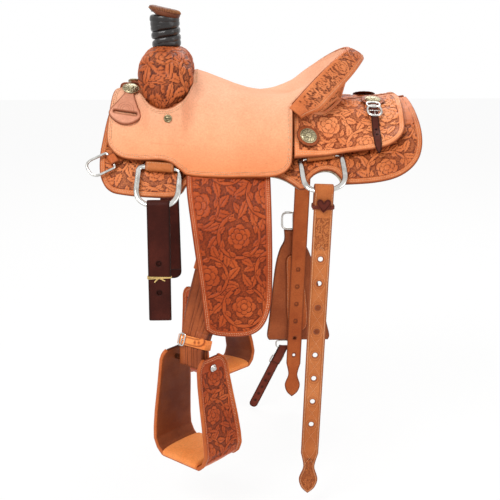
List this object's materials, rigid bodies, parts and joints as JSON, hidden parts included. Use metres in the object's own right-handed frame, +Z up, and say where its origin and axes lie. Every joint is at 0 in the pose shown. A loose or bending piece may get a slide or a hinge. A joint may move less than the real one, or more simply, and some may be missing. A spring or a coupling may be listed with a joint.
{
  "type": "roping saddle",
  "caption": "Western roping saddle with wrapped horn, carved skirts and fenders, hanging rigging straps, flank cinch and wide covered stirrups.",
  "frame": {"origin": "on the centre plane, at the lowest point of the line where the saddle's underside meets the ridge of the horse's back", "axes": "+X towards the cantle and the horse's tail, +Y towards the off (right-hand) side, +Z up"},
  "size_m": [0.7491, 0.7635, 1.1215],
  "materials": {
    "blevins_sleeve_near": "oiled strap leather",
    "blevins_sleeve_off": "oiled strap leather",
    "breast_dee_near": "polished stainless",
    "breast_dee_off": "polished stainless",
    "breast_tab_near": "oiled strap leather",
    "breast_tab_off": "oiled strap leather",
    "cantle_back": "oiled strap leather",
    "cantle_concho_near": "engraved antique silver and gold",
    "cantle_concho_off": "engraved antique silver and gold",
    "cheyenne_roll": "floral carved, oiled",
    "cinch_buckle": "polished stainless",
    "cinch_dee": "polished stainless",
    "connecting_strap": "oiled strap leather",
    "connector_buckle": "polished stainless",
    "fender_near": "floral carved, oiled",
    "fender_off": "floral carved, oiled",
    "flank_billet_near": "oiled strap leather",
    "flank_billet_off": "oiled strap leather",
    "flank_cinch": "oiled strap leather",
    "fleece_near": "sheepskin pile",
    "fleece_off": "sheepskin pile",
    "front_concho_near": "engraved antique silver and gold",
    "front_concho_off": "engraved antique silver and gold",
    "front_dee_near": "polished stainless",
    "front_dee_off": "polished stainless",
    "ground_seat": "rawhide covered",
    "hobble_strap_near": "oiled strap leather",
    "hobble_strap_off": "oiled strap leather",
    "horn_cap": "oiled strap leather",
    "horn_post": "painted iron",
    "horn_wrap": "moulded rubber strip",
    "lace_keeper": "oiled strap leather",
    "latigo": "oiled strap leather",
    "off_billet": "oiled strap leather",
    "rear_concho_near": "engraved antique silver and gold",
    "rear_concho_off": "engraved antique silver and gold",
    "rear_dee_near": "polished stainless",
    "rear_dee_off": "polished stainless",
    "rear_jockey_near": "floral carved, oiled",
    "rear_jockey_off": "floral carved, oiled",
    "rigging_front_near": "oiled strap leather",
    "rigging_front_off": "oiled strap leather",
    "rigging_rear_near": "oiled strap leather",
    "rigging_rear_off": "oiled strap leather",
    "seat": "roughout, fine nap",
    "skirt_near": "floral carved, oiled",
    "skirt_off": "floral carved, oiled",
    "slotted_hanger_near": "oiled strap leather",
    "slotted_hanger_off": "oiled strap leather",
    "stirrup_leather_near": "oiled strap leather",
    "stirrup_leather_off": "oiled strap leather",
    "stirrup_near": "floral carved, oiled",
    "stirrup_off": "floral carved, oiled",
    "string_strap_near": "oiled strap leather",
    "string_strap_off": "oiled strap leather",
    "swell_cover": "floral carved, oiled",
    "tree_bar_near": "rawhide covered",
    "tree_bar_off": "rawhide covered",
    "tree_cantle": "rawhide covered",
    "tree_fork": "rawhide covered"
  },
  "bodies": {
    "saddle": {"breast_tab_near": "breast_tab_near", "breast_tab_off": "breast_tab_off", "cantle_back": "cantle_back", "cantle_concho_near": "cantle_concho_near", "cantle_concho_off": "cantle_concho_off", "cheyenne_roll": "cheyenne_roll", "fleece_near": "fleece_near", "fleece_off": "fleece_off", "front_concho_near": "front_concho_near", "front_concho_off": "front_concho_off", "ground_seat": "ground_seat", "horn_cap": "horn_cap", "horn_post": "horn_post", "horn_wrap": "horn_wrap", "rear_concho_near": "rear_concho_near", "rear_concho_off": "rear_concho_off", "rear_jockey_near": "rear_jockey_near", "rear_jockey_off": "rear_jockey_off", "rigging_front_near": "rigging_front_near", "rigging_front_off": "rigging_front_off", "rigging_rear_near": "rigging_rear_near", "rigging_rear_off": "rigging_rear_off", "seat": "seat", "skirt_near": "skirt_near", "skirt_off": "skirt_off", "slotted_hanger_near": "slotted_hanger_near", "slotted_hanger_off": "slotted_hanger_off", "string_strap_near": "string_strap_near", "string_strap_off": "string_strap_off", "swell_cover": "swell_cover", "tree_bar_near": "tree_bar_near", "tree_bar_off": "tree_bar_off", "tree_cantle": "tree_cantle", "tree_fork": "tree_fork"},
    "fender_near": {"fender_near": "fender_near", "stirrup_leather_near": "stirrup_leather_near", "blevins_sleeve_near": "blevins_sleeve_near", "hobble_strap_near": "hobble_strap_near"},
    "fender_off": {"fender_off": "fender_off", "stirrup_leather_off": "stirrup_leather_off", "blevins_sleeve_off": "blevins_sleeve_off", "hobble_strap_off": "hobble_strap_off"},
    "stirrup_near": {"stirrup_near": "stirrup_near"},
    "stirrup_off": {"stirrup_off": "stirrup_off"},
    "front_dee_near": {"front_dee_near": "front_dee_near"},
    "front_dee_off": {"front_dee_off": "front_dee_off"},
    "rear_dee_near": {"rear_dee_near": "rear_dee_near"},
    "rear_dee_off": {"rear_dee_off": "rear_dee_off"},
    "latigo": {"latigo": "latigo"},
    "off_billet": {"off_billet": "off_billet"},
    "flank_billet_near": {"flank_billet_near": "flank_billet_near", "lace_keeper": "lace_keeper"},
    "flank_billet_off": {"flank_billet_off": "flank_billet_off"},
    "flank_cinch": {"flank_cinch": "flank_cinch", "cinch_buckle": "cinch_buckle"},
    "cinch_dee": {"cinch_dee": "cinch_dee"},
    "connecting_strap": {"connecting_strap": "connecting_strap", "connector_buckle": "connector_buckle"},
    "breast_dee_near": {"breast_dee_near": "breast_dee_near"},
    "breast_dee_off": {"breast_dee_off": "breast_dee_off"}
  },
  "joints": [
    {"name": "fender_swing_near", "type": "hinge", "parent": "saddle", "child": "fender_near", "pos_m": [-0.08, -0.21457, -0.1], "axis": [0, 0.7328, -0.6805], "range_deg": [-12, 12]},
    {"name": "fender_swing_off", "type": "hinge", "parent": "saddle", "child": "fender_off", "pos_m": [-0.08, 0.21457, -0.1], "axis": [0, 0.7328, 0.6805], "range_deg": [-4, 6]},
    {"name": "stirrup_swing_near", "type": "hinge", "parent": "fender_near", "child": "stirrup_near", "pos_m": [-0.161, -0.288, -0.517], "axis": [0.7071, -0.7071, 0], "range_deg": [-20, 20]},
    {"name": "stirrup_swing_off", "type": "hinge", "parent": "fender_off", "child": "stirrup_off", "pos_m": [-0.12339, 0.29244, -0.52178], "axis": [-0.7535, -0.655, -0.0561], "range_deg": [-20, 20]},
    {"name": "front_dee_near_hinge", "type": "hinge", "parent": "saddle", "child": "front_dee_near", "pos_m": [-0.231, -0.20601, -0.09271], "axis": [0.9966, -0.035, -0.075], "range_deg": [-10, 0]},
    {"name": "front_dee_off_hinge", "type": "hinge", "parent": "saddle", "child": "front_dee_off", "pos_m": [-0.231, 0.20601, -0.09271], "axis": [-0.9966, -0.035, 0.075], "range_deg": [-10, 0]},
    {"name": "rear_dee_near_hinge", "type": "hinge", "parent": "saddle", "child": "rear_dee_near", "pos_m": [0.126, -0.20457, -0.06949], "axis": [-0.9918, 0.0234, -0.1259], "range_deg": [0, 10]},
    {"name": "rear_dee_off_hinge", "type": "hinge", "parent": "saddle", "child": "rear_dee_off", "pos_m": [0.126, 0.20457, -0.06949], "axis": [0.9918, 0.0234, 0.1259], "range_deg": [0, 10]},
    {"name": "latigo_swing", "type": "hinge", "parent": "front_dee_near", "child": "latigo", "pos_m": [-0.23267, -0.26782, -0.16557], "axis": [1, 0, 0], "range_deg": [-10, 0]},
    {"name": "off_billet_swing", "type": "hinge", "parent": "front_dee_off", "child": "off_billet", "pos_m": [-0.23267, 0.26782, -0.16557], "axis": [-1, 0, 0], "range_deg": [-10, 5]},
    {"name": "flank_billet_near_swing", "type": "hinge", "parent": "rear_dee_near", "child": "flank_billet_near", "pos_m": [0.12626, -0.27694, -0.13205], "axis": [-1, 0, 0], "range_deg": [-5, 10]},
    {"name": "flank_billet_off_swing", "type": "hinge", "parent": "rear_dee_off", "child": "flank_billet_off", "pos_m": [0.13226, 0.27694, -0.13205], "axis": [1, 0, 0], "range_deg": [-5, 10]},
    {"name": "flank_cinch_swing", "type": "hinge", "parent": "flank_billet_off", "child": "flank_cinch", "pos_m": [0.10426, 0.29504, -0.30205], "axis": [1, 0, 0], "range_deg": [0, 8]},
    {"name": "cinch_dee_swing", "type": "hinge", "parent": "flank_cinch", "child": "cinch_dee", "pos_m": [0.08026, 0.30084, -0.67215], "axis": [1, 0, 0], "range_deg": [-5, 15]},
    {"name": "connecting_strap_swing", "type": "hinge", "parent": "cinch_dee", "child": "connecting_strap", "pos_m": [0.08026, 0.30084, -0.69215], "axis": [1, 0, 0], "range_deg": [-10, 10]},
    {"name": "breast_dee_near_hinge", "type": "hinge", "parent": "saddle", "child": "breast_dee_near", "pos_m": [-0.338, -0.19846, -0.07585], "axis": [0.5045, -0.5143, -0.6935], "range_deg": [-15, 0]},
    {"name": "breast_dee_off_hinge", "type": "hinge", "parent": "saddle", "child": "breast_dee_off", "pos_m": [-0.338, 0.19846, -0.07585], "axis": [-0.5045, -0.5143, 0.6935], "range_deg": [-15, 0]}
  ]
}
